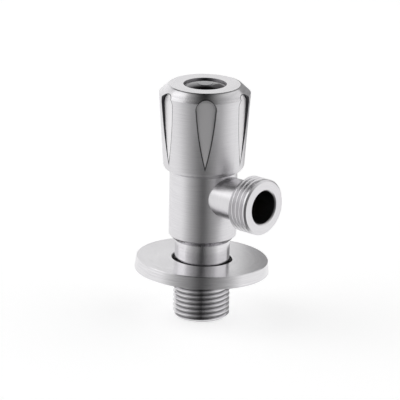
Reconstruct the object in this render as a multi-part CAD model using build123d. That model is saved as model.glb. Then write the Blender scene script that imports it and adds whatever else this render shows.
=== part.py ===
from build123d import *
from build123d.topology import SkipClean
import os
from math import cos, radians, sin, tan

os.makedirs("parts", exist_ok=True)

# Angle stop valve with a quarter-turn ceramic headwork, in millimetres.
# The origin is the centre of the inlet's end face. The spindle axis and the inlet run along Z,
# the handle is at the top, and the outlet branch points along +X.

# G1/2 pipe thread, ISO 228: 14 turns to the inch, 55 degree flanks
THREAD_R = 20.955 / 2
THREAD_PITCH = 25.4 / 14
THREAD_DEPTH = 0.640327 * THREAD_PITCH
THREAD_ROOT_FLAT = THREAD_PITCH / 6
FLANK = 27.5
THREAD_SECTORS = 8
THREAD_END_T = 0.3
THREAD_START = 180.0
CUT_OVER = 0.12
OVERRUN = 1.0

# Fits
RUNNING = 0.05
CLEARANCE = 0.1
AIR = 0.3

# Valve body
INLET_THREAD_L = 16.5
INLET_CHAMFER = 1.1
INLET_THREAD_TURNS = 8.877
NECK_R = 10.17
NECK_TOP_Z = 29.3
BARREL_R = 12.5
BARREL_FOOT_Z = 31.5
BARREL_TOP_Z = 63.0
INLET_BORE_R = 6.75
THROAT_R = 4.6
SEAT_Z = 37.0
CHAMBER_R = 9.4
CHAMBER_TOP_Z = 54.0

# Outlet branch, along +X
OUTLET_Z = 48.0
OUTLET_END_X = 30.3
OUTLET_THREAD_L = 8.1
OUTLET_LAND = 1.5
OUTLET_CHAMFER = 0.65
BRANCH_R = 7.75
BRANCH_BORE_R = 5.0
PILOT_R = 5.9
SADDLE_GAP = 0.02
OUTLET_BORE_R = 6.2
OUTLET_BORE_L = 14.0
OUTLET_MOUTH_CHAMFER = 0.5

# Handle
HANDLE_FOOT_Z = 56.4
HANDLE_SHOULDER_Z = 59.0
HANDLE_EDGE_Z = 85.7
HANDLE_TOP_Z = 88.9
HANDLE_FOOT_R = 13.2
HANDLE_FOOT_BULGE = (14.45, 57.25)
HANDLE_LOW_R = 15.0
HANDLE_WIDE_R = 16.9
HANDLE_CROWN_R = 13.5
HANDLE_CROWN_ROUND = 1.1
HANDLE_SKIRT_R = BARREL_R + AIR
HANDLE_CAVITY_R = 13.2
HUB_FOOT_Z = 71.9
CAVITY_TOP_Z = 81.0
SHELL_BORE_R = 12.4
HUB_R = 8.8
FLUTES = 6
FLUTE_PHASE = -45.5
FLUTE_FLOOR_R = 15.2
FLUTE_FOOT_Z = 60.4
FLUTE_WAIST = (2.15, 70.2)
FLUTE_WIDEST = (3.65, 82.5)
FLUTE_TOP_Z = 87.0

# Index cap in the top of the handle
RECESS_R = 8.0
RECESS_Z = 85.4
CAP_R = RECESS_R - CLEARANCE
CAP_RIM_Z = 87.8
CAP_CROWN_Z = 89.2
CAP_T = 1.2
CAP_SKIRT_T = 0.8
CAP_SKIRT_INSET = 0.5
CAP_SLOT = (1.6, 2.4)
MARK_R = 2.7
MARK_DEPTH = 0.35

# Handle screw, M5, with its washer
WEB_TOP_Z = 82.2
WASHER_T = 0.8
WASHER_R = 4.9
SCREW_R = 2.45
SCREW_HEAD_R = 4.2
SCREW_HEAD_H = 2.2
SCREW_END_Z = 68.0
SCREW_CHAMFER = 0.6
SCREW_SOCKET_AF = 3.0
SCREW_SOCKET_DEPTH = 1.4
COUNTERBORE_R = 5.2

# Spline insert in the handle's hub
INSERT_AF = 12.0
INSERT_FOOT_Z = 72.4
INSERT_TOP_Z = 80.4
SPLINE_TEETH = 20
SPLINE_TIP_R = 4.0
SPLINE_ROOT_R = 3.55

# Headwork
HIDDEN_GROOVE_DEPTH = 0.9
HIDDEN_GROOVE_HALF_W = 0.73
TUBE_R = 8.9
TUBE_BORE_R = 7.7
TUBE_FOOT_Z = 37.8
SHOULDER_Z = 53.5
HEADWORK_THREAD_R = 10.4
HEADWORK_THREAD_Z = (54.5, 62.4)
FLANGE_SEAL_T = 1.0
FLANGE_R = 12.1
FLANGE_T = 1.2
HEX_AF = 22.0
HEX_TOP_Z = 69.0
HEX_CHAMFER_H = 0.9
HEX_CHAMFER_W = 1.5
COLLAR_R = 6.8
COLLAR_TOP_Z = 70.2
GLAND_R = 5.0
WINDOW_W = 9.0
WINDOW_Z = (45.9, 50.4)
STOP_RIB_R = 6.3
STOP_Z = (50.8, 52.8)
LUG_ANGLE = 40.0
TURN = 90.0
STOP_SLACK = 2.0

# Spindle
STEM_R = 4.9
CORE_R = 3.0
DRIVE_FLANGE_R = 6.0
LUG_R = 7.4
TANG_W = 3.0
TANG_L = 11.6
TANG_H = 2.4
TANG_FOOT_Z = 44.15
SPLINE_Z = (72.2, 80.0)
GROOVE_R = 3.75
GROOVE_W = 1.6
O_RING_SECTION_R = 0.6
O_RING_Z = (57.4, 62.0)
CLIP_GROOVE_R = 4.2
CLIP_Z = (70.85, 71.55)
CLIP_R = 6.3
CLIP_GAP = (80, 50)
CLIP_WASHER_R = 6.6

# Ceramic discs and the seat seal
SEAL_TOP_Z = 39.4
DISC_GAP = 0.02
FIXED_DISC_TOP_Z = 42.4
MOVING_DISC_TOP_Z = 45.6
PORT_INNER_R = 2.2
PORT_OUTER_R = 6.2
PORT_ANGLE = 78.0

# Escutcheon, loose on the neck and leaning a little to one side
ESCUTCHEON_Z = 17.6
ESCUTCHEON_H = 4.5
ESCUTCHEON_FOOT_R = 24.9
ESCUTCHEON_TOP_R = 24.4
ESCUTCHEON_WALL = 0.8
ESCUTCHEON_HOLE_R = 11.2
ESCUTCHEON_COLLAR_H = 3.4
ESCUTCHEON_EDGE = 0.25
LEAN = 1.7
LEAN_TOWARDS = 42.5
GRIP_R = 10.62
GRIP_FLANGE_T = 0.8
GRIP_TOP_DROP = 1.6


def turned(*points):
    """A solid of revolution about Z from its half outline, given as (radius, height) pairs."""
    outline = Polyline(*[(r, 0, z) for r, z in points], close=True)
    return revolve(make_face(outline), Axis.Z)


def tube(outer_r, inner_r, z_low, z_high):
    """A plain ring between two heights."""
    return turned((inner_r, z_low), (outer_r, z_low), (outer_r, z_high), (inner_r, z_high))


def rod(r, z_low, z_high):
    """A plain cylinder between two heights."""
    return Pos(0, 0, z_low) * extrude(Circle(r), z_high - z_low)


def hexagon(across_flats, z_low, z_high):
    """A hexagonal prism between two heights."""
    corner_r = across_flats / 2 / cos(radians(30))
    return Pos(0, 0, z_low) * extrude(RegularPolygon(corner_r, 6), z_high - z_low)


def wedge(r, z_low, z_high, start, angle):
    """A sector of a cylinder that starts at a bearing and spans an angle, in degrees."""
    half = make_face(Polyline((0, 0, z_low), (r, 0, z_low), (r, 0, z_high), (0, 0, z_high), close=True))
    return Rot(0, 0, start) * revolve(half, Axis.Z, angle)


def sector_ring(outer_r, inner_r, z_low, z_high, start, angle):
    """A sector of a ring."""
    half = Polyline(
        (inner_r, 0, z_low), (outer_r, 0, z_low), (outer_r, 0, z_high), (inner_r, 0, z_high), close=True
    )
    return Rot(0, 0, start) * revolve(make_face(half), Axis.Z, angle)


def thread_cutter(z_start, height):
    """The helical groove between the crests of a male G1/2 thread, from a height and over a rise."""
    root = THREAD_R - THREAD_DEPTH
    crest = THREAD_R + CUT_OVER
    root_half = THREAD_ROOT_FLAT / 2
    crest_half = root_half + (crest - root) * tan(radians(FLANK))
    groove = Polyline(
        (root, 0, -root_half),
        (crest, 0, -crest_half),
        (crest, 0, crest_half),
        (root, 0, root_half),
        close=True,
    )
    path = Helix(pitch=THREAD_PITCH, height=height, radius=THREAD_R)
    return Pos(0, 0, z_start) * Rot(0, 0, THREAD_START) * sweep(make_face(groove), path=path, is_frenet=True)


def threaded_ring(bore_r, length, chamfer, groove_start, groove_rise):
    """A ring with a male G1/2 thread. Its free, chamfered end is at height 0.

    Past the plain end the ring is made of equal sectors, so each stretch of crest is a short face.
    """
    blank = turned(
        (bore_r, 0), (THREAD_R - chamfer, 0), (THREAD_R, chamfer), (THREAD_R, length), (bore_r, length)
    )
    threaded = blank - thread_cutter(groove_start, groove_rise)
    room_r = THREAD_R + OVERRUN
    step = 360 / THREAD_SECTORS
    with SkipClean():
        pieces = [threaded & rod(room_r, -OVERRUN, THREAD_END_T)]
        for k in range(THREAD_SECTORS):
            pieces.append(threaded & wedge(room_r, THREAD_END_T, length + OVERRUN, k * step, step))
        solids = [piece.solids()[0] for piece in pieces]
        return solids[0].fuse(*solids[1:])


def ring_grooves(outer_r, z_low, z_high):
    """Evenly spaced grooves round a cylinder, as on a thread that is out of sight."""
    count = int((z_high - z_low) / THREAD_PITCH)
    rings = []
    for k in range(count):
        z = z_low + (k + 0.5) * THREAD_PITCH
        rings.append(
            turned(
                (outer_r - HIDDEN_GROOVE_DEPTH, z),
                (outer_r + CLEARANCE, z - HIDDEN_GROOVE_HALF_W),
                (outer_r + CLEARANCE, z + HIDDEN_GROOVE_HALF_W),
            )
        )
    return rings


def sideways(shape):
    """Turn a shape that points down Z so that it points out along +X, at the outlet's height."""
    return Pos(OUTLET_END_X, 0, OUTLET_Z) * Rot(0, -90, 0) * shape


def o_ring(z):
    """A round-section ring in a groove of the spindle."""
    centre_r = GLAND_R - O_RING_SECTION_R - RUNNING / 2
    return revolve(Pos(centre_r, 0, z) * Rot(90, 0, 0) * Circle(O_RING_SECTION_R), Axis.Z)


def make_valve_body():
    """Inlet neck, barrel and seat, with a side hole for the outlet spigot."""
    barrel = turned(
        (0, INLET_THREAD_L),
        (NECK_R, INLET_THREAD_L),
        (NECK_R, NECK_TOP_Z),
        (BARREL_R, BARREL_FOOT_Z),
        (BARREL_R, BARREL_TOP_Z),
        (0, BARREL_TOP_Z),
    )
    waterway = turned(
        (0, INLET_THREAD_L - 1),
        (INLET_BORE_R, INLET_THREAD_L - 1),
        (INLET_BORE_R, SEAT_Z - 3),
        (THROAT_R, SEAT_Z - 1.5),
        (THROAT_R, SEAT_Z),
        (CHAMBER_R, SEAT_Z),
        (CHAMBER_R, CHAMBER_TOP_Z),
        (HEADWORK_THREAD_R + 0.15, CHAMBER_TOP_Z + 0.5),
        (HEADWORK_THREAD_R + 0.15, BARREL_TOP_Z + 1),
        (0, BARREL_TOP_Z + 1),
    )
    side_hole = Pos(0, 0, OUTLET_Z) * Rot(0, 90, 0) * rod(PILOT_R + RUNNING, 0, BARREL_R + 1)
    groove_rise = INLET_THREAD_TURNS * THREAD_PITCH
    inlet = threaded_ring(INLET_BORE_R, INLET_THREAD_L, INLET_CHAMFER, -OVERRUN, groove_rise)
    with SkipClean():
        return (barrel - waterway - side_hole).fuse(inlet)


def make_outlet_spigot():
    """The branch tube, saddled on the barrel with a pilot in its side hole, and the threaded collar."""
    branch_end = OUTLET_END_X - OUTLET_THREAD_L
    sideways_rod = Pos(0, 0, OUTLET_Z) * Rot(0, 90, 0)
    barrel_room = rod(BARREL_R + SADDLE_GAP, OUTLET_Z - 2 * BRANCH_R, OUTLET_Z + 2 * BRANCH_R)
    chamber_room = rod(CHAMBER_R + CLEARANCE, OUTLET_Z - 2 * BRANCH_R, OUTLET_Z + 2 * BRANCH_R)
    tube_part = sideways_rod * rod(BRANCH_R, 1, branch_end) - barrel_room
    pilot = sideways_rod * rod(PILOT_R, 1, branch_end) - chamber_room
    way = sideways_rod * rod(BRANCH_BORE_R, 0, branch_end + 1)
    groove_rise = OUTLET_THREAD_L + OVERRUN - OUTLET_LAND
    collar = sideways(
        threaded_ring(BRANCH_BORE_R, OUTLET_THREAD_L, OUTLET_CHAMFER, OUTLET_LAND, groove_rise)
    )
    mouth_edge_r = OUTLET_BORE_R + OUTLET_MOUTH_CHAMFER
    mouth = sideways(
        turned(
            (0, -1),
            (mouth_edge_r, -1),
            (mouth_edge_r, 0),
            (OUTLET_BORE_R, OUTLET_MOUTH_CHAMFER),
            (OUTLET_BORE_R, OUTLET_BORE_L),
            (0, OUTLET_BORE_L),
        )
    )
    stem = tube_part + pilot - way
    with SkipClean():
        return stem.fuse(collar).cut(mouth)


def make_escutcheon():
    """A pressed cover with a drawn collar round its hole, centred on the neck and level."""
    top = ESCUTCHEON_Z + ESCUTCHEON_H
    under = top - ESCUTCHEON_WALL
    slope = (ESCUTCHEON_FOOT_R - ESCUTCHEON_TOP_R) / ESCUTCHEON_H
    collar_z = top - ESCUTCHEON_COLLAR_H
    return turned(
        (ESCUTCHEON_HOLE_R, top - ESCUTCHEON_EDGE),
        (ESCUTCHEON_HOLE_R + ESCUTCHEON_EDGE, top),
        (ESCUTCHEON_TOP_R - ESCUTCHEON_EDGE, top),
        (ESCUTCHEON_TOP_R, top - ESCUTCHEON_EDGE),
        (ESCUTCHEON_FOOT_R, ESCUTCHEON_Z),
        (ESCUTCHEON_FOOT_R - ESCUTCHEON_WALL, ESCUTCHEON_Z),
        (ESCUTCHEON_TOP_R - ESCUTCHEON_WALL + slope, under),
        (ESCUTCHEON_HOLE_R + ESCUTCHEON_WALL, under),
        (ESCUTCHEON_HOLE_R + ESCUTCHEON_WALL, collar_z),
        (ESCUTCHEON_HOLE_R, collar_z),
    )


def make_grip_ring():
    """The rubber ring inside the escutcheon's collar, with a flange under the collar."""
    top = ESCUTCHEON_Z + ESCUTCHEON_H
    collar_z = top - ESCUTCHEON_COLLAR_H
    return turned(
        (GRIP_R, collar_z - GRIP_FLANGE_T),
        (ESCUTCHEON_HOLE_R + ESCUTCHEON_WALL, collar_z - GRIP_FLANGE_T),
        (ESCUTCHEON_HOLE_R + ESCUTCHEON_WALL, collar_z - RUNNING),
        (ESCUTCHEON_HOLE_R - RUNNING, collar_z - RUNNING),
        (ESCUTCHEON_HOLE_R - RUNNING, top - GRIP_TOP_DROP),
        (GRIP_R, top - GRIP_TOP_DROP),
    )


def leaning(shape):
    """Lean a loose part over, about the middle of the escutcheon."""
    axis = Axis(
        (0, 0, ESCUTCHEON_Z + ESCUTCHEON_H / 2),
        (-sin(radians(LEAN_TOWARDS)), cos(radians(LEAN_TOWARDS)), 0),
    )
    return shape.rotate(axis, LEAN)


def flute():
    """One flat-floored flute: a narrow pointed foot, curved sides and an arched top."""
    waist_half_w, waist_z = FLUTE_WAIST
    half_w, widest_z = FLUTE_WIDEST
    right = ThreePointArc((0, FLUTE_FOOT_Z), (waist_half_w, waist_z), (half_w, widest_z))
    left = ThreePointArc((0, FLUTE_FOOT_Z), (-waist_half_w, waist_z), (-half_w, widest_z))
    arch = ThreePointArc((half_w, widest_z), (0, FLUTE_TOP_Z), (-half_w, widest_z))
    outline = make_face(right + arch + left)
    floor = Plane(origin=(FLUTE_FLOOR_R, 0, 0), x_dir=(0, 1, 0), z_dir=(1, 0, 0))
    return floor * extrude(outline, HANDLE_WIDE_R + OVERRUN - FLUTE_FLOOR_R)


def make_handle():
    """The fluted shell with its hub, web and the recess for the index cap."""
    bulge_r, bulge_z = HANDLE_FOOT_BULGE
    foot = (HANDLE_FOOT_R, 0, HANDLE_FOOT_Z)
    shoulder = (HANDLE_LOW_R, 0, HANDLE_SHOULDER_Z)
    outline = Polyline((0, 0, HANDLE_TOP_Z), (0, 0, HANDLE_FOOT_Z), foot)
    outline += ThreePointArc(foot, (bulge_r, 0, bulge_z), shoulder)
    outline += Polyline(
        shoulder,
        (HANDLE_WIDE_R, 0, HANDLE_EDGE_Z),
        (HANDLE_CROWN_R, 0, HANDLE_TOP_Z),
        (0, 0, HANDLE_TOP_Z),
    )
    shell = revolve(make_face(outline), Axis.Z)
    circles = shell.edges().filter_by(GeomType.CIRCLE)
    crown = [edge for edge in circles if abs(edge.radius - HANDLE_CROWN_R) < CLEARANCE]
    shell = fillet(crown, HANDLE_CROWN_ROUND)
    for k in range(FLUTES):
        shell -= Rot(0, 0, FLUTE_PHASE + k * 360 / FLUTES) * flute()
    cavity = turned(
        (0, HANDLE_FOOT_Z - 1),
        (HANDLE_SKIRT_R, HANDLE_FOOT_Z - 1),
        (HANDLE_SKIRT_R, HANDLE_SHOULDER_Z),
        (HANDLE_CAVITY_R, HANDLE_SHOULDER_Z + 0.5),
        (HANDLE_CAVITY_R, HUB_FOOT_Z - 1),
        (SHELL_BORE_R, HUB_FOOT_Z),
        (SHELL_BORE_R, CAVITY_TOP_Z - 1),
        (SHELL_BORE_R - 1, CAVITY_TOP_Z),
        (HUB_R, CAVITY_TOP_Z),
        (HUB_R, HUB_FOOT_Z),
        (0, HUB_FOOT_Z),
    )
    socket = hexagon(INSERT_AF + CLEARANCE, HUB_FOOT_Z - 1, INSERT_TOP_Z + CLEARANCE)
    top_hole = turned(
        (0, INSERT_TOP_Z - 1),
        (SCREW_R + AIR, INSERT_TOP_Z - 1),
        (SCREW_R + AIR, WEB_TOP_Z),
        (COUNTERBORE_R, WEB_TOP_Z),
        (COUNTERBORE_R, RECESS_Z),
        (RECESS_R, RECESS_Z),
        (RECESS_R, HANDLE_TOP_Z + 1),
        (0, HANDLE_TOP_Z + 1),
    )
    return shell - cavity - socket - top_hole


def make_index_cap():
    """A domed cap on a slotted snap skirt, with a shallow seat for the index mark."""
    rise = CAP_CROWN_Z - CAP_RIM_Z
    dome_r = (CAP_R**2 + rise**2) / (2 * rise)
    ball = Pos(0, 0, CAP_CROWN_Z - dome_r) * Sphere(dome_r)
    plug = rod(CAP_R, CAP_RIM_Z - CAP_T, CAP_CROWN_Z + CLEARANCE) & ball
    skirt_r = CAP_R - CAP_SKIRT_INSET
    skirt = tube(skirt_r, skirt_r - CAP_SKIRT_T, RECESS_Z + 2 * CLEARANCE, CAP_RIM_Z - CAP_T)
    slot_w, slot_h = CAP_SLOT
    for bearing in (0, 90):
        skirt -= Rot(0, 0, bearing) * Pos(0, 0, RECESS_Z) * Box(2 * CAP_R, slot_w, slot_h)
    return plug + skirt - rod(MARK_R + RUNNING, CAP_CROWN_Z - MARK_DEPTH, CAP_CROWN_Z + 1)


def make_index_mark():
    """The plain inlay disc in the middle of the cap."""
    return rod(MARK_R, CAP_CROWN_Z - MARK_DEPTH + 0.01, CAP_CROWN_Z)


def make_screw():
    """A pan-head screw with a hexagon socket."""
    head_z = WEB_TOP_Z + WASHER_T
    top = head_z + SCREW_HEAD_H
    head = turned(
        (0, head_z),
        (SCREW_HEAD_R, head_z),
        (SCREW_HEAD_R, top - SCREW_CHAMFER),
        (SCREW_HEAD_R - SCREW_CHAMFER, top),
        (0, top),
    )
    shank = turned(
        (0, head_z),
        (SCREW_R, head_z),
        (SCREW_R, SCREW_END_Z + SCREW_CHAMFER),
        (SCREW_R - SCREW_CHAMFER, SCREW_END_Z),
        (0, SCREW_END_Z),
    )
    return head + shank - hexagon(SCREW_SOCKET_AF, top - SCREW_SOCKET_DEPTH, top + OVERRUN)


def spline(tip_r, root_r, z_low, z_high, tooth_share):
    """A rod with straight teeth that run along it."""
    shape = rod(root_r, z_low, z_high)
    tooth = 360 / SPLINE_TEETH * tooth_share
    for k in range(SPLINE_TEETH):
        shape += sector_ring(tip_r, root_r - 0.3, z_low, z_high, k * 360 / SPLINE_TEETH - tooth / 2, tooth)
    return shape


def make_spline_insert():
    """The plastic bush between the handle's hexagonal socket and the spindle's spline."""
    body = hexagon(INSERT_AF, INSERT_FOOT_Z, INSERT_TOP_Z)
    hole = spline(SPLINE_TIP_R + RUNNING, SPLINE_ROOT_R + RUNNING, INSERT_FOOT_Z - 1, INSERT_TOP_Z + 1, 0.56)
    return body - hole


def make_spindle():
    """Spline, stem with two seal grooves and a clip groove, drive flange with its stop lug, and tang."""
    flange_low, flange_high = STOP_Z
    stem = turned(
        (0, flange_high),
        (STEM_R, flange_high),
        (STEM_R, SPLINE_Z[0] - 0.5),
        (STEM_R - 0.5, SPLINE_Z[0]),
        (0, SPLINE_Z[0]),
    )
    stem += rod(DRIVE_FLANGE_R, flange_low, flange_high)
    stem += sector_ring(LUG_R, DRIVE_FLANGE_R - 0.5, flange_low, flange_high, -LUG_ANGLE / 2, LUG_ANGLE)
    stem += rod(CORE_R, MOVING_DISC_TOP_Z + AIR, flange_low)
    stem += Pos(0, 0, TANG_FOOT_Z + TANG_H / 2) * Box(TANG_L, TANG_W, TANG_H)
    stem += spline(SPLINE_TIP_R, SPLINE_ROOT_R, *SPLINE_Z, 0.5)
    for z in O_RING_Z:
        stem -= tube(STEM_R + 1, GROOVE_R, z - GROOVE_W / 2, z + GROOVE_W / 2)
    stem -= tube(STEM_R + 1, CLIP_GROOVE_R, CLIP_Z[0] - 0.05, CLIP_Z[1] + 0.05)
    return stem - rod(SCREW_R + RUNNING, SCREW_END_Z - 1.5, SPLINE_Z[1] + 1)


def make_headwork_body():
    """Brass body: disc tube with two windows, thread, flange, hexagon and gland, with a stop rib inside."""
    seal_top = BARREL_TOP_Z + FLANGE_SEAL_T
    thread_low, thread_high = HEADWORK_THREAD_Z
    outside = turned(
        (0, TUBE_FOOT_Z),
        (TUBE_R, TUBE_FOOT_Z),
        (TUBE_R, thread_low - 0.5),
        (HEADWORK_THREAD_R, thread_low),
        (HEADWORK_THREAD_R, thread_high),
        (HEADWORK_THREAD_R - HIDDEN_GROOVE_DEPTH, thread_high),
        (HEADWORK_THREAD_R - HIDDEN_GROOVE_DEPTH, seal_top),
        (FLANGE_R, seal_top),
        (FLANGE_R, seal_top + FLANGE_T),
        (0, seal_top + FLANGE_T),
    )
    for groove in ring_grooves(HEADWORK_THREAD_R, thread_low, thread_high):
        outside -= groove
    corner_r = HEX_AF / 2 / cos(radians(30))
    chamfered = turned(
        (0, seal_top),
        (corner_r, seal_top),
        (corner_r, HEX_TOP_Z - HEX_CHAMFER_H),
        (corner_r - HEX_CHAMFER_W, HEX_TOP_Z),
        (0, HEX_TOP_Z),
    )
    nut = hexagon(HEX_AF, seal_top + FLANGE_T, HEX_TOP_Z) & chamfered
    outside = outside + nut + rod(COLLAR_R, HEX_TOP_Z, COLLAR_TOP_Z)
    inside = turned(
        (0, TUBE_FOOT_Z - 1),
        (TUBE_BORE_R, TUBE_FOOT_Z - 1),
        (TUBE_BORE_R, SHOULDER_Z),
        (GLAND_R, SHOULDER_Z),
        (GLAND_R, COLLAR_TOP_Z + 1),
        (0, COLLAR_TOP_Z + 1),
    )
    body = outside - inside
    window_low, window_high = WINDOW_Z
    window = Box(2 * TUBE_R + 2 * OVERRUN, WINDOW_W, window_high - window_low)
    body -= Pos(0, 0, (window_low + window_high) / 2) * window
    gap = LUG_ANGLE + TURN + 2 * STOP_SLACK
    gap_start = -LUG_ANGLE / 2 - STOP_SLACK
    return body + sector_ring(TUBE_BORE_R + AIR, STOP_RIB_R, *STOP_Z, gap_start + gap, 360 - gap)


def ported_disc(r, z_low, z_high, bearing):
    """A ceramic disc with two opposite sector ports."""
    disc = rod(r, z_low, z_high)
    for side in (0, 180):
        start = bearing + side - PORT_ANGLE / 2
        disc -= sector_ring(PORT_OUTER_R, PORT_INNER_R, z_low - 1, z_high + 1, start, PORT_ANGLE)
    return disc


def make_moving_disc():
    """The driven disc. Its ports lie across the fixed disc's ports when the valve is closed."""
    disc = ported_disc(TUBE_BORE_R - 2 * CLEARANCE, FIXED_DISC_TOP_Z + DISC_GAP, MOVING_DISC_TOP_Z, 90)
    slot_h = MOVING_DISC_TOP_Z - TANG_FOOT_Z + CLEARANCE
    slot = Box(TANG_L + 2 * CLEARANCE, TANG_W + CLEARANCE, 2 * slot_h)
    return disc - Pos(0, 0, MOVING_DISC_TOP_Z) * slot


def make_flange_seal():
    """The flat ring between the headwork's flange and the top of the barrel."""
    bore_r = HEADWORK_THREAD_R - HIDDEN_GROOVE_DEPTH + CLEARANCE
    return tube(FLANGE_R, bore_r, BARREL_TOP_Z, BARREL_TOP_Z + FLANGE_SEAL_T)


def make_clip():
    """An open retaining clip in the spindle's groove."""
    clip_low, clip_high = CLIP_Z
    ring = tube(CLIP_R, CLIP_GROOVE_R + RUNNING, clip_low, clip_high)
    return ring - wedge(CLIP_R + OVERRUN, clip_low - OVERRUN, clip_high + OVERRUN, *CLIP_GAP)


PARTS = {
    "valve_body": make_valve_body(),
    "outlet_spigot": make_outlet_spigot(),
    "escutcheon": leaning(make_escutcheon()),
    "escutcheon_grip_ring": leaning(make_grip_ring()),
    "handle": make_handle(),
    "handle_spline_insert": make_spline_insert(),
    "handle_screw": make_screw(),
    "handle_screw_washer": tube(WASHER_R, SCREW_R + AIR, WEB_TOP_Z, WEB_TOP_Z + WASHER_T),
    "index_cap": make_index_cap(),
    "index_mark": make_index_mark(),
    "headwork_body": make_headwork_body(),
    "headwork_flange_seal": make_flange_seal(),
    "spindle": make_spindle(),
    "spindle_o_ring_lower": o_ring(O_RING_Z[0]),
    "spindle_o_ring_upper": o_ring(O_RING_Z[1]),
    "spindle_retaining_clip": make_clip(),
    "spindle_clip_washer": tube(
        CLIP_WASHER_R, STEM_R + RUNNING, COLLAR_TOP_Z + DISC_GAP, CLIP_Z[0] - DISC_GAP
    ),
    "spindle_thrust_washer": tube(
        STOP_RIB_R - CLEARANCE, STEM_R + RUNNING, STOP_Z[1], SHOULDER_Z - RUNNING
    ),
    "moving_ceramic_disc": make_moving_disc(),
    "fixed_ceramic_disc": ported_disc(TUBE_BORE_R - RUNNING, SEAL_TOP_Z, FIXED_DISC_TOP_Z, 0),
    "seat_seal": tube(TUBE_BORE_R - RUNNING, THROAT_R + 2 * CLEARANCE, SEAT_Z, SEAL_TOP_Z),
}

for name, shape in PARTS.items():
    export_step(shape, f"parts/{name}.step")
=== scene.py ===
import logging
import math
from dataclasses import dataclass, field
from enum import Enum

import bmesh
import bpy
from mathutils import Matrix, Vector


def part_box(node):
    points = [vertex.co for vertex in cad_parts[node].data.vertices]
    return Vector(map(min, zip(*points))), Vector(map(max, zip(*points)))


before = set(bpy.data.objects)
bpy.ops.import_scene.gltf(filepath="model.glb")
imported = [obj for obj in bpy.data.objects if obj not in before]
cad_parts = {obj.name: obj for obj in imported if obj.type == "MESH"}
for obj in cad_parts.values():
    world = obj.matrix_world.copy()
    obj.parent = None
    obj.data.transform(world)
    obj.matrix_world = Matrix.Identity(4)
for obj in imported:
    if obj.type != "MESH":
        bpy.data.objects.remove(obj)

LOG = logging.getLogger("angle_stop_valve")
MM = 0.001

Tree = bpy.types.NodeTree
Socket = bpy.types.NodeSocket
Colour = tuple[float, float, float, float]

BLACK: Colour = (0.0, 0.0, 0.0, 1.0)
WHITE: Colour = (1.0, 1.0, 1.0, 1.0)
UP = Vector((0.0, 0.0, 1.0))

# The part of a noise's range that its values mostly fall in
NOISE_MIDDLE = (0.3, 0.7)

# The turned grain: changes to a metre along a ring, and the slow unevenness over it
GRAIN_GROUP = "turned_grain"
ALONG_RING = 140.0
STREAK_DETAIL = 3.0
CLOUD_SCALE = 90.0
CLOUD_DETAIL = 2.0

# A glossy zone's roughness as a share of the rest's
GLOSS_SHARE = 0.5

# Painted shade in hollows: how dark the thread roots and the bore are painted, and how far past the
# hollow's radius the painted shade fades out
ROOT_SHADE = 0.45
ROOT_RISE = 0.9 * MM
BORE_SHADE = 0.35
BORE_RISE = 0.3 * MM


class GrainAxis(Enum):
    """The axis a piece was turned or brushed round."""

    SPINDLE = "spindle"
    OUTLET = "outlet"


def new_material(name: str) -> tuple[bpy.types.Material, Tree, bpy.types.Node]:
    """Start a node material with one Principled shader.

    Args:
        name: The material's name.

    Returns:
        The material, its node tree and its Principled node.
    """
    material = bpy.data.materials.new(name)
    material.use_nodes = True
    tree = material.node_tree
    return material, tree, tree.nodes["Principled BSDF"]


def math_node(tree: Tree, operation: str, *values: float | Socket) -> Socket:
    """Add a Math node.

    Args:
        tree: The tree that gets the node.
        operation: The node's operation.
        values: Its inputs in order.

    Returns:
        The node's output.
    """
    node = tree.nodes.new("ShaderNodeMath")
    node.operation = operation
    for socket, value in zip(node.inputs, values):
        if isinstance(value, (int, float)):
            socket.default_value = value
        else:
            tree.links.new(value, socket)
    return node.outputs[0]


def hypotenuse(tree: Tree, first: Socket, second: Socket) -> Socket:
    """Length of a vector from its two components.

    Args:
        tree: The tree that gets the nodes.
        first: One component.
        second: The other.

    Returns:
        The length.
    """
    squares = (math_node(tree, "MULTIPLY", side, side) for side in (first, second))
    return math_node(tree, "SQRT", math_node(tree, "ADD", *squares))


def noise_node(tree: Tree, vector: Socket, scale: float, detail: float) -> Socket:
    """Add a three-dimensional noise.

    Args:
        tree: The tree that gets the node.
        vector: Where the noise is read.
        scale: Its scale.
        detail: Its detail.

    Returns:
        The noise's value.
    """
    node = tree.nodes.new("ShaderNodeTexNoise")
    node.inputs["Scale"].default_value = scale
    node.inputs["Detail"].default_value = detail
    tree.links.new(vector, node.inputs["Vector"])
    return node.outputs[0]


def ramp(
    tree: Tree, value: Socket, low: Colour, high: Colour, span: tuple[float, float] = NOISE_MIDDLE
) -> Socket:
    """Blend two colours by a mask.

    Args:
        tree: The tree that gets the node.
        value: The mask.
        low: Colour below the span.
        high: Colour above the span.
        span: Mask values where the blend starts and ends.

    Returns:
        The colour.
    """
    node = tree.nodes.new("ShaderNodeValToRGB")
    for element, position, colour in zip(node.color_ramp.elements, span, (low, high)):
        element.position, element.color = position, colour
    tree.links.new(value, node.inputs[0])
    return node.outputs["Color"]


def mix_colours(tree: Tree, factor: Socket, low: Colour | Socket, high: Colour | Socket) -> Socket:
    """Mix two colours by a factor.

    Args:
        tree: The tree that gets the node.
        factor: The share of the second colour.
        low: The first colour.
        high: The second colour.

    Returns:
        The mixed colour.
    """
    node = tree.nodes.new("ShaderNodeMix")
    node.data_type = "RGBA"
    tree.links.new(factor, node.inputs["Factor"])
    for name, value in (("A", low), ("B", high)):
        if isinstance(value, tuple):
            node.inputs[name].default_value = value
        else:
            tree.links.new(value, node.inputs[name])
    return node.outputs["Result"]


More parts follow.
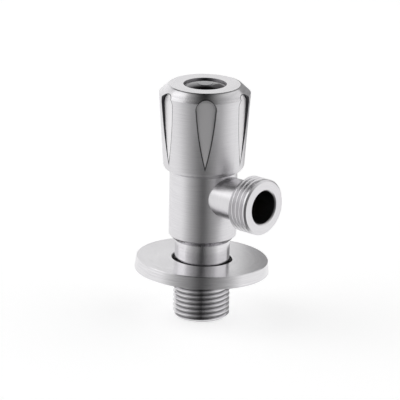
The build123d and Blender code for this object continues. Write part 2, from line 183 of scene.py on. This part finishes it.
def map_range(
    tree: Tree,
    value: Socket,
    span: tuple[float, float],
    result: tuple[float, float],
    smooth: bool = False,
) -> Socket:
    """Carry a reading from one range to another, held at both ends.

    Args:
        tree: The tree that gets the node.
        value: The reading.
        span: The readings at the two ends.
        result: The results at the two ends.
        smooth: Whether the change eases in and out.

    Returns:
        The result.
    """
    node = tree.nodes.new("ShaderNodeMapRange")
    if smooth:
        node.interpolation_type = "SMOOTHSTEP"
    for name, number in zip(("From Min", "From Max", "To Min", "To Max"), (*span, *result)):
        node.inputs[name].default_value = number
    tree.links.new(value, node.inputs["Value"])
    return node.outputs["Result"]


def bump(tree: Tree, shader: bpy.types.Node, height: Socket, strength: float, depth: float) -> None:
    """Feed a height to the shader's normal.

    Args:
        tree: The material's tree.
        shader: The Principled node.
        height: The height mask.
        strength: Strength of the bump.
        depth: Its depth in metres.
    """
    node = tree.nodes.new("ShaderNodeBump")
    node.inputs["Strength"].default_value = strength
    node.inputs["Distance"].default_value = depth
    tree.links.new(height, node.inputs["Height"])
    tree.links.new(node.outputs["Normal"], shader.inputs["Normal"])


def object_vector(tree: Tree) -> Socket:
    """The piece's own coordinates, in metres."""
    return tree.nodes.new("ShaderNodeTexCoord").outputs["Object"]


def components(tree: Tree, vector: Socket) -> tuple[Socket, Socket, Socket]:
    """Split a vector.

    Args:
        tree: The tree that gets the node.
        vector: The vector.

    Returns:
        Its X, Y and Z.
    """
    split = tree.nodes.new("ShaderNodeSeparateXYZ")
    tree.links.new(vector, split.inputs[0])
    return tuple(split.outputs)


def outlet_height() -> float:
    """Height of the outlet's axis, in metres."""
    low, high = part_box("outlet_spigot")
    return (low[2] + high[2]) / 2


def radius_output(tree: Tree, axis: GrainAxis) -> Socket:
    """Distance from the axis that a piece was turned round.

    Args:
        tree: The material's tree.
        axis: The axis.

    Returns:
        The distance, in metres.
    """
    x, y, z = components(tree, object_vector(tree))
    if axis is GrainAxis.OUTLET:
        return hypotenuse(tree, math_node(tree, "SUBTRACT", z, outlet_height()), y)
    return hypotenuse(tree, x, y)


def make_grain_group() -> Tree:
    """Build the shared turned-grain effect: fine rings round Z with slow unevenness.

    Returns:
        The group, with Vector and Rings in, and Streak and Cloud out.
    """
    group = bpy.data.node_groups.new(GRAIN_GROUP, "ShaderNodeTree")
    for name, way, kind in (
        ("Vector", "INPUT", "NodeSocketVector"),
        ("Rings", "INPUT", "NodeSocketFloat"),
        ("Streak", "OUTPUT", "NodeSocketFloat"),
        ("Cloud", "OUTPUT", "NodeSocketFloat"),
    ):
        group.interface.new_socket(name, in_out=way, socket_type=kind)
    source = group.nodes.new("NodeGroupInput")
    sink = group.nodes.new("NodeGroupOutput")
    x, y, z = components(group, source.outputs["Vector"])
    rings = source.outputs["Rings"]
    outward = math_node(group, "MULTIPLY", hypotenuse(group, x, y), rings)
    across = math_node(group, "ADD", outward, math_node(group, "MULTIPLY", z, rings))
    place = group.nodes.new("ShaderNodeCombineXYZ")
    group.links.new(math_node(group, "MULTIPLY", x, ALONG_RING), place.inputs["X"])
    group.links.new(math_node(group, "MULTIPLY", y, ALONG_RING), place.inputs["Y"])
    group.links.new(across, place.inputs["Z"])
    streak = noise_node(group, place.outputs["Vector"], 1.0, STREAK_DETAIL)
    cloud = noise_node(group, source.outputs["Vector"], CLOUD_SCALE, CLOUD_DETAIL)
    group.links.new(streak, sink.inputs["Streak"])
    group.links.new(cloud, sink.inputs["Cloud"])
    return group


def grain_outputs(tree: Tree, axis: GrainAxis, rings: float) -> tuple[Socket, Socket]:
    """Place the turned-grain group in a material, centred on the piece's own axis.

    Args:
        tree: The material's tree.
        axis: The axis that the rings go round.
        rings: How many rings there are to a metre.

    Returns:
        The streak mask and the cloud mask.
    """
    vector = object_vector(tree)
    if axis is GrainAxis.OUTLET:
        mapping = tree.nodes.new("ShaderNodeMapping")
        mapping.vector_type = "POINT"
        mapping.inputs["Rotation"].default_value = (0.0, math.radians(-90), 0.0)
        mapping.inputs["Location"].default_value = (outlet_height(), 0.0, 0.0)
        tree.links.new(vector, mapping.inputs["Vector"])
        vector = mapping.outputs["Vector"]
    group = tree.nodes.new("ShaderNodeGroup")
    group.node_tree = bpy.data.node_groups.get(GRAIN_GROUP) or make_grain_group()
    group.inputs["Rings"].default_value = rings
    tree.links.new(vector, group.inputs["Vector"])
    return group.outputs["Streak"], group.outputs["Cloud"]


@dataclass(frozen=True)
class FluteShape:
    """The outline of the handle's flutes, in millimetres, for the rougher floor painted in a lighter
    colour (painted light) and the painted dark reflection line along its edge.
    """

    count: int = 6
    phase: float = -45.5
    foot: tuple[float, float] = (0.0, 60.4)
    waist: tuple[float, float] = (2.15, 70.2)
    widest: tuple[float, float] = (3.65, 82.5)
    top: float = 87.0
    least_radius: float = 14.9
    line_fade: tuple[float, float] = (0.06, 0.34)
    # Painted reflection: a dark line along the flute's edge crease
    painted_crease_reflection_colour: Colour = (0.105, 0.105, 0.112, 1.0)
    floor_inset: float = 0.1
    # Painted light: the flute floor is coloured lighter than the rest of the handle
    painted_floor_light_colour: Colour = (0.97, 0.96, 0.97, 1.0)
    floor_rougher: float = 0.26

    def side_arc(self) -> tuple[float, float, float]:
        """Centre and radius of the arc through the foot, waist and widest points."""
        (ax, ay), (bx, by), (cx, cy) = self.foot, self.waist, self.widest
        twist = 2 * (ax * (by - cy) + bx * (cy - ay) + cx * (ay - by))
        a2, b2, c2 = ax * ax + ay * ay, bx * bx + by * by, cx * cx + cy * cy
        mid_x = (a2 * (by - cy) + b2 * (cy - ay) + c2 * (ay - by)) / twist
        mid_y = (a2 * (cx - bx) + b2 * (ax - cx) + c2 * (bx - ax)) / twist
        return mid_x, mid_y, math.dist((mid_x, mid_y), self.foot)

    def top_arc(self) -> tuple[float, float, float]:
        """Centre and radius of the arch over the widest points."""
        half, base = self.widest
        rise = self.top - base
        radius = (half * half + rise * rise) / (2 * rise)
        return 0.0, self.top - radius, radius

    def off_arc(
        self, tree: Tree, across: Socket, height: Socket, arc: tuple[float, float, float]
    ) -> Socket:
        """Distance outside an arc, negative inside it.

        Args:
            tree: The material's tree.
            across: Distance from the flute's middle, in metres.
            height: Height, in metres.
            arc: The arc's centre and radius, in millimetres.

        Returns:
            The distance, in metres.
        """
        middle_x, middle_y, radius = (length * MM for length in arc)
        aside = math_node(tree, "SUBTRACT", across, middle_x)
        above = math_node(tree, "SUBTRACT", height, middle_y)
        return math_node(tree, "SUBTRACT", hypotenuse(tree, aside, above), radius)

    def masks(self, tree: Tree) -> tuple[Socket, Socket]:
        """Find the painted dark reflection line along each flute's edge, and the floor of every flute,
        which is painted lighter.

        Args:
            tree: The material's tree.

        Returns:
            The painted reflection line's mask and the floor mask.
        """
        x, y, z = components(tree, object_vector(tree))
        phase = math.radians(self.phase)
        bearing = math_node(tree, "SUBTRACT", math_node(tree, "ARCTAN2", y, x), phase)
        half_step = math.pi / self.count
        turn = math_node(tree, "WRAP", bearing, half_step, -half_step)
        radius = hypotenuse(tree, x, y)
        offset = math_node(tree, "MULTIPLY", radius, math_node(tree, "SINE", turn))
        across = math_node(tree, "ABSOLUTE", offset)
        side = self.off_arc(tree, across, z, self.side_arc())
        top = self.off_arc(tree, across, z, self.top_arc())
        in_arch = math_node(tree, "GREATER_THAN", z, self.widest[1] * MM)
        step = math_node(tree, "MULTIPLY", in_arch, math_node(tree, "SUBTRACT", top, side))
        off = math_node(tree, "ADD", side, step)
        near, far = self.line_fade
        painted_crease_line = map_range(
            tree, math_node(tree, "ABSOLUTE", off), (near * MM, far * MM), (1.0, 0.0), smooth=True
        )
        floor = math_node(tree, "LESS_THAN", off, -self.floor_inset * MM)
        outside = math_node(tree, "GREATER_THAN", radius, self.least_radius * MM)
        return math_node(tree, "MULTIPLY", painted_crease_line, outside), math_node(tree, "MULTIPLY", floor, outside)


@dataclass(frozen=True)
class TurnedMetal:
    """A metal surface with the fine rings left by turning or brushing. Lengths are in metres."""

    name: str
    dark: Colour
    light: Colour
    roughness: tuple[float, float]
    axis: GrainAxis = GrainAxis.SPINDLE
    anisotropy: float = 0.3
    anisotropy_turn: float = 0.25
    rings: float = 16000.0
    groove: float = 0.0000015
    bump_strength: float = 0.35
    glossy_below: float | None = None
    glossy_above: float | None = None
    flutes: FluteShape | None = None
    # Radii, in metres, below which painted shade darkens the thread roots and the bore
    thread_root: float | None = None
    bore: float | None = None

    def build(self) -> bpy.types.Material:
        """Make the material.

        Returns:
            The node material.
        """
        material, tree, shader = new_material(self.name)
        streak, cloud = grain_outputs(tree, self.axis, self.rings)
        shader.inputs["Metallic"].default_value = 1.0
        shader.inputs["Anisotropic"].default_value = self.anisotropy
        shader.inputs["Anisotropic Rotation"].default_value = self.anisotropy_turn
        # Painted shade darkens the thread roots and the bore
        colour = self.paint_hollow_shade(tree, ramp(tree, streak, self.dark, self.light))
        rough = self.roughness_output(tree, streak, cloud)
        if self.flutes is not None:
            # Painted light on the flute floors, and a painted dark reflection line along their edges
            painted_crease_line, floor = self.flutes.masks(tree)
            colour = mix_colours(tree, floor, colour, self.flutes.painted_floor_light_colour)
            colour = mix_colours(tree, painted_crease_line, colour, self.flutes.painted_crease_reflection_colour)
            rough = math_node(tree, "MULTIPLY_ADD", floor, self.flutes.floor_rougher, rough)
        tree.links.new(colour, shader.inputs["Base Color"])
        tree.links.new(rough, shader.inputs["Roughness"])
        tangent = tree.nodes.new("ShaderNodeTangent")
        tangent.direction_type = "RADIAL"
        tangent.axis = "Z" if self.axis is GrainAxis.SPINDLE else "X"
        tree.links.new(tangent.outputs[0], shader.inputs["Tangent"])
        bump(tree, shader, streak, self.bump_strength, self.groove)
        return material

    def roughness_output(self, tree: Tree, streak: Socket, cloud: Socket) -> Socket:
        """Vary the roughness with the grain, and lower it in the glossy zone.

        Args:
            tree: The material's tree.
            streak: The grain's streak mask.
            cloud: The grain's cloud mask.

        Returns:
            The roughness.
        """
        halves = (math_node(tree, "MULTIPLY", mask, 0.5) for mask in (streak, cloud))
        mixed = math_node(tree, "ADD", *halves)
        rough = map_range(tree, mixed, NOISE_MIDDLE, self.roughness)
        for limit, side in ((self.glossy_below, "GREATER_THAN"), (self.glossy_above, "LESS_THAN")):
            if limit is not None:
                height = components(tree, object_vector(tree))[2]
                plain = math_node(tree, side, height, limit)
                share = math_node(tree, "MULTIPLY_ADD", plain, 1.0 - GLOSS_SHARE, GLOSS_SHARE)
                rough = math_node(tree, "MULTIPLY", rough, share)
        return rough

    def paint_hollow_shade(self, tree: Tree, colour: Socket) -> Socket:
        """Paint shade into the roots of a thread or the inside of a bore.

        Args:
            tree: The material's tree.
            colour: The metal's colour.

        Returns:
            The colour with painted shade in the hollows.
        """
        hollows = ((self.thread_root, ROOT_RISE, ROOT_SHADE), (self.bore, BORE_RISE, BORE_SHADE))
        for start, rise, shade in hollows:
            if start is not None:
                radius = radius_output(tree, self.axis)
                light = map_range(tree, radius, (start, start + rise), (shade, 1.0), smooth=True)
                colour = mix_colours(tree, light, BLACK, colour)
        return colour


@dataclass(frozen=True)
class MouldedFinish:
    """Rubber, plastic, fibre or ceramic: a fine grain under a plain colour."""

    name: str
    dark: Colour
    light: Colour
    roughness: tuple[float, float]
    grain: float = 2500.0
    grain_detail: float = 4.0
    broad_share: float = 0.05
    broad_detail: float = 2.0
    depth: float = 0.00001
    bump_strength: float = 0.3

    def build(self) -> bpy.types.Material:
        """Make the material.

        Returns:
            The node material.
        """
        material, tree, shader = new_material(self.name)
        vector = object_vector(tree)
        fine = noise_node(tree, vector, self.grain, self.grain_detail)
        broad = noise_node(tree, vector, self.grain * self.broad_share, self.broad_detail)
        tree.links.new(ramp(tree, broad, self.dark, self.light), shader.inputs["Base Color"])
        rough = map_range(tree, fine, NOISE_MIDDLE, self.roughness)
        tree.links.new(rough, shader.inputs["Roughness"])
        bump(tree, shader, fine, self.bump_strength, self.depth)
        return material


@dataclass(frozen=True)
class DarkChrome:
    """Glossy dark plating, with faint handling marks."""

    name: str = "dark_chrome"
    dark: Colour = (0.1, 0.097, 0.104, 1.0)
    light: Colour = (0.16, 0.156, 0.165, 1.0)
    roughness: tuple[float, float] = (0.05, 0.13)
    mark_scale: float = 400.0
    mark_detail: float = 5.0
    mark_span: tuple[float, float] = (0.35, 0.7)

    def build(self) -> bpy.types.Material:
        """Make the material.

        Returns:
            The node material.
        """
        material, tree, shader = new_material(self.name)
        marks = noise_node(tree, object_vector(tree), self.mark_scale, self.mark_detail)
        shader.inputs["Metallic"].default_value = 1.0
        colour = ramp(tree, marks, self.dark, self.light, self.mark_span)
        tree.links.new(colour, shader.inputs["Base Color"])
        rough = map_range(tree, marks, NOISE_MIDDLE, self.roughness)
        tree.links.new(rough, shader.inputs["Roughness"])
        return material


Finish = TurnedMetal | MouldedFinish | DarkChrome

SATIN_DARK: Colour = (0.67, 0.66, 0.68, 1.0)
SATIN_LIGHT: Colour = (0.83, 0.82, 0.835, 1.0)
SATIN_BODY = TurnedMetal(
    "satin_body", SATIN_DARK, SATIN_LIGHT, (0.33, 0.39), glossy_below=31.0 * MM, thread_root=9.3 * MM
)
SATIN_OUTLET = TurnedMetal(
    "satin_outlet", SATIN_DARK, SATIN_LIGHT, (0.28, 0.35), GrainAxis.OUTLET, bore=6.25 * MM
)
SATIN_HANDLE = TurnedMetal(
    "satin_handle", SATIN_DARK, SATIN_LIGHT, (0.38, 0.44), glossy_above=85.8 * MM, flutes=FluteShape()
)
SATIN_COVER = TurnedMetal("satin_cover", SATIN_DARK, SATIN_LIGHT, (0.2, 0.27), rings=9000.0)
BRASS = TurnedMetal("machined_brass", (0.60, 0.41, 0.16, 1.0), (0.78, 0.58, 0.27, 1.0), (0.22, 0.34))
STEEL = TurnedMetal("bright_steel", (0.45, 0.45, 0.46, 1.0), (0.6, 0.6, 0.61, 1.0), (0.2, 0.32))
DARK_CHROME = DarkChrome()
RUBBER = MouldedFinish(
    "black_rubber", (0.012, 0.012, 0.012, 1.0), (0.03, 0.03, 0.03, 1.0), (0.5, 0.7)
)
ACETAL = MouldedFinish("white_acetal", (0.74, 0.73, 0.69, 1.0), (0.85, 0.84, 0.8, 1.0), (0.35, 0.5))
FIBRE = MouldedFinish("red_fibre", (0.3, 0.05, 0.03, 1.0), (0.48, 0.1, 0.06, 1.0), (0.7, 0.9), 1500.0)
CERAMIC = MouldedFinish(
    "lapped_alumina", (0.78, 0.76, 0.71, 1.0), (0.88, 0.87, 0.83, 1.0), (0.12, 0.2)
)
INLAY = MouldedFinish("grey_inlay", (0.36, 0.36, 0.38, 1.0), (0.5, 0.5, 0.52, 1.0), (0.15, 0.25))


@dataclass
class SubAssembly:
    """CAD pieces that go together, and the finish of each."""

    finishes: dict[str, Finish] = field(default_factory=dict)

    def dress(self) -> None:
        """Give each node its material."""
        for node, finish in self.finishes.items():
            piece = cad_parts[node]
            if finish.name not in bpy.data.materials:
                finish.build()
            material = bpy.data.materials[finish.name]
            for slot in piece.material_slots:
                slot.material = material
            LOG.info("%s is finished in %s", node, finish.name)


@dataclass
class Body(SubAssembly):
    """The fixed metalwork: the body and its outlet spigot."""

    finishes: dict[str, Finish] = field(
        default_factory=lambda: {"valve_body": SATIN_BODY, "outlet_spigot": SATIN_OUTLET}
    )


@dataclass
class Cover(SubAssembly):
    """The wall cover and the ring that grips the neck."""

    finishes: dict[str, Finish] = field(
        default_factory=lambda: {"escutcheon": SATIN_COVER, "escutcheon_grip_ring": RUBBER}
    )


@dataclass
class Handle(SubAssembly):
    """The handle with its insert, screw, washer, cap and mark."""

    finishes: dict[str, Finish] = field(
        default_factory=lambda: {
            "handle": SATIN_HANDLE,
            "handle_spline_insert": ACETAL,
            "handle_screw": STEEL,
            "handle_screw_washer": STEEL,
            "index_cap": DARK_CHROME,
            "index_mark": INLAY,
        }
    )


@dataclass
class Headwork(SubAssembly):
    """The ceramic-disc headwork, its spindle and seals."""

    finishes: dict[str, Finish] = field(
        default_factory=lambda: {
            "headwork_body": BRASS,
            "headwork_flange_seal": FIBRE,
            "spindle": BRASS,
            "spindle_o_ring_lower": RUBBER,
            "spindle_o_ring_upper": RUBBER,
            "spindle_retaining_clip": STEEL,
            "spindle_clip_washer": BRASS,
            "spindle_thrust_washer": ACETAL,
            "moving_ceramic_disc": CERAMIC,
            "fixed_ceramic_disc": CERAMIC,
            "seat_seal": RUBBER,
        }
    )


def glowing_sheet(
    name: str, half_width: float, finish_name: str, grey: float, roughness: float, glow: float
) -> bpy.types.Object:
    """Make a level square sheet with a plain, faintly glowing finish.

    Args:
        name: Name of the mesh and the object.
        half_width: Half the sheet's width, in metres.
        finish_name: The material's name.
        grey: Its grey level.
        roughness: Its roughness.
        glow: Strength of its white emission.

    Returns:
        The object, linked to the scene.
    """
    mesh = bpy.data.meshes.new(name)
    shape = bmesh.new()
    bmesh.ops.create_grid(shape, x_segments=1, y_segments=1, size=half_width)
    shape.to_mesh(mesh)
    shape.free()
    sheet = bpy.data.objects.new(name, mesh)
    bpy.context.scene.collection.objects.link(sheet)
    material, _, shader = new_material(finish_name)
    shader.inputs["Base Color"].default_value = (grey, grey, grey, 1.0)
    shader.inputs["Roughness"].default_value = roughness
    shader.inputs["Emission Color"].default_value = WHITE
    shader.inputs["Emission Strength"].default_value = glow
    mesh.materials.append(material)
    return sheet


@dataclass
class Studio:
    """A plain white table, a soft surround and the camera. Lengths are in metres."""

    azimuth: float = 42.5
    elevation: float = 17.2
    roll: float = 1.04
    distance: float = 2.19
    lens: float = 534.0
    sensor: float = 36.0
    clip: tuple[float, float] = (0.05, 20.0)
    aim_height: float = 0.0442
    aim_side: float = -0.0011
    floor_size: float = 6.0
    floor_grey: float = 0.9
    floor_roughness: float = 0.9
    floor_glow: float = 0.55
    flag_aside: float = 0.12
    flag_back: float = 0.16
    flag_width: float = 0.2
    flag_height: float = 0.2
    flag_grey: float = 0.02
    flag_roughness: float = 0.95
    flag_glow: float = 0.3
    box_aside: float = -0.9
    box_ahead: float = -0.1
    box_up: float = 0.75
    box_size: tuple[float, float] = (0.9, 1.0)
    box_watts: float = 1.2
    overhead_band: tuple[float, float] = (0.34, 0.62)
    wall_levels: tuple[tuple[float, float], ...] = (
        (0.0, 0.05), (0.05, 0.12), (0.12, 0.26), (0.28, 0.5),
        (0.44, 1.15), (0.57, 1.7), (0.78, 1.1), (1.0, 0.92),
    )
    ceiling_levels: tuple[tuple[float, float], ...] = (
        (0.0, 0.01), (0.15, 0.04), (0.3, 0.18), (0.5, 0.5), (0.7, 0.95), (1.0, 1.0)
    )

    def towards_camera(self) -> Vector:
        """The level direction from the valve to the camera."""
        turn = math.radians(self.azimuth)
        return Vector((math.sin(turn), -math.cos(turn), 0.0))

    def to_the_right(self) -> Vector:
        """The level direction that is to the camera's right."""
        turn = math.radians(self.azimuth)
        return Vector((math.cos(turn), math.sin(turn), 0.0))

    def place_camera(self) -> None:
        """Make the camera and aim it at the valve."""
        data = bpy.data.cameras.new("camera")
        data.lens = self.lens
        data.sensor_width = self.sensor
        data.clip_start, data.clip_end = self.clip
        camera = bpy.data.objects.new("camera", data)
        bpy.context.scene.collection.objects.link(camera)
        lift = math.radians(self.elevation)
        back = self.towards_camera() * math.cos(lift) + UP * math.sin(lift)
        aim = self.to_the_right() * self.aim_side + UP * self.aim_height
        turn = (-back).to_track_quat("-Z", "Y").to_matrix().to_4x4()
        roll = Matrix.Rotation(math.radians(self.roll), 4, "Z")
        camera.matrix_world = Matrix.Translation(aim + back * self.distance) @ turn @ roll
        bpy.context.scene.camera = camera

    def lay_floor(self) -> None:
        """Lay a bright white table under the valve."""
        table = glowing_sheet(
            "table_top", self.floor_size / 2, "white_table",
            self.floor_grey, self.floor_roughness, self.floor_glow,
        )
        table.visible_glossy = False

    def surround(self) -> None:
        """Light the valve by bearing: dark in front, bright at the sides and paler behind."""
        world = bpy.data.worlds.new("soft_surround")
        bpy.context.scene.world = world
        world.use_nodes = True
        tree = world.node_tree
        background = tree.nodes["Background"]
        direction = tree.nodes.new("ShaderNodeTexCoord").outputs["Generated"]
        ahead = self.reading(tree, direction, self.towards_camera())
        aside = math_node(tree, "ABSOLUTE", self.reading(tree, direction, self.to_the_right()))
        bearing = math_node(tree, "ARCTAN2", aside, ahead)
        wall = self.levels(tree, math_node(tree, "DIVIDE", bearing, math.pi), self.wall_levels)
        ceiling = self.levels(tree, aside, self.ceiling_levels)
        height = self.reading(tree, direction, UP)
        overhead = map_range(tree, height, self.overhead_band, (0.0, 1.0), smooth=True)
        tree.links.new(mix_colours(tree, overhead, wall, ceiling), background.inputs["Color"])
        background.inputs["Strength"].default_value = 1.0

    def levels(self, tree: Tree, place: Socket, steps: tuple[tuple[float, float], ...]) -> Socket:
        """Turn a reading into brightness, smoothly through a few steps.

        Args:
            tree: The world's tree.
            place: The reading, from 0 to 1.
            steps: Pairs of reading and brightness, in order.

        Returns:
            The grey level.
        """
        node = tree.nodes.new("ShaderNodeValToRGB")
        node.color_ramp.interpolation = "B_SPLINE"
        for element, (position, level) in zip(node.color_ramp.elements, (steps[0], steps[-1])):
            element.position, element.color = position, (level, level, level, 1.0)
        for position, level in steps[1:-1]:
            node.color_ramp.elements.new(position).color = (level, level, level, 1.0)
        tree.links.new(place, node.inputs[0])
        return node.outputs["Color"]

    def reading(self, tree: Tree, direction: Socket, along: Vector) -> Socket:
        """How far the surround's direction lies along a given one, from -1 to 1.

        Args:
            tree: The world's tree.
            direction: The surround's direction.
            along: A unit direction in the frame.

        Returns:
            The cosine between the two.
        """
        node = tree.nodes.new("ShaderNodeVectorMath")
        node.operation = "DOT_PRODUCT"
        tree.links.new(direction, node.inputs[0])
        node.inputs[1].default_value = along
        return node.outputs["Value"]

    def soft_box(self) -> None:
        """Hang a rectangular soft box on the left that faces the valve."""
        data = bpy.data.lights.new("left_soft_box", "AREA")
        data.shape = "RECTANGLE"
        data.size, data.size_y = self.box_size
        data.energy = self.box_watts
        light = bpy.data.objects.new("left_soft_box", data)
        level = self.to_the_right() * self.box_aside + self.towards_camera() * self.box_ahead
        light.location = level + UP * self.box_up
        light.rotation_mode = "QUATERNION"
        light.rotation_quaternion = (UP * self.aim_height - light.location).to_track_quat("-Z", "Y")
        bpy.context.scene.collection.objects.link(light)

    def flag(self) -> None:
        """Stand a dim card behind the valve's right side, out of the camera's sight."""
        card = glowing_sheet(
            "flag_card", 0.5, "black_card",
            self.flag_grey, self.flag_roughness, self.flag_glow,
        )
        across, away = self.to_the_right(), -self.towards_camera()
        place = across * self.flag_aside + away * self.flag_back + UP * (self.flag_height / 2)
        turn = Matrix((across, UP, away)).transposed().to_4x4()
        stretch = Matrix.Diagonal((self.flag_width, self.flag_height, 1.0, 1.0))
        card.data.transform(Matrix.Translation(place) @ turn @ stretch)
        card.visible_camera = False
        card.visible_shadow = False
        card.visible_diffuse = False

    def set_up(self) -> None:
        """Make the table, the light and the camera."""
        bpy.context.scene.view_settings.view_transform = "Standard"
        self.lay_floor()
        self.surround()
        self.soft_box()
        self.flag()
        self.place_camera()


def main() -> None:
    """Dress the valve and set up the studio."""
    logging.basicConfig(level=logging.INFO, format="%(message)s")
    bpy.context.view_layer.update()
    for assembly in (Body(), Cover(), Handle(), Headwork()):
        assembly.dress()
    Studio().set_up()


if __name__ == "__main__":
    main()
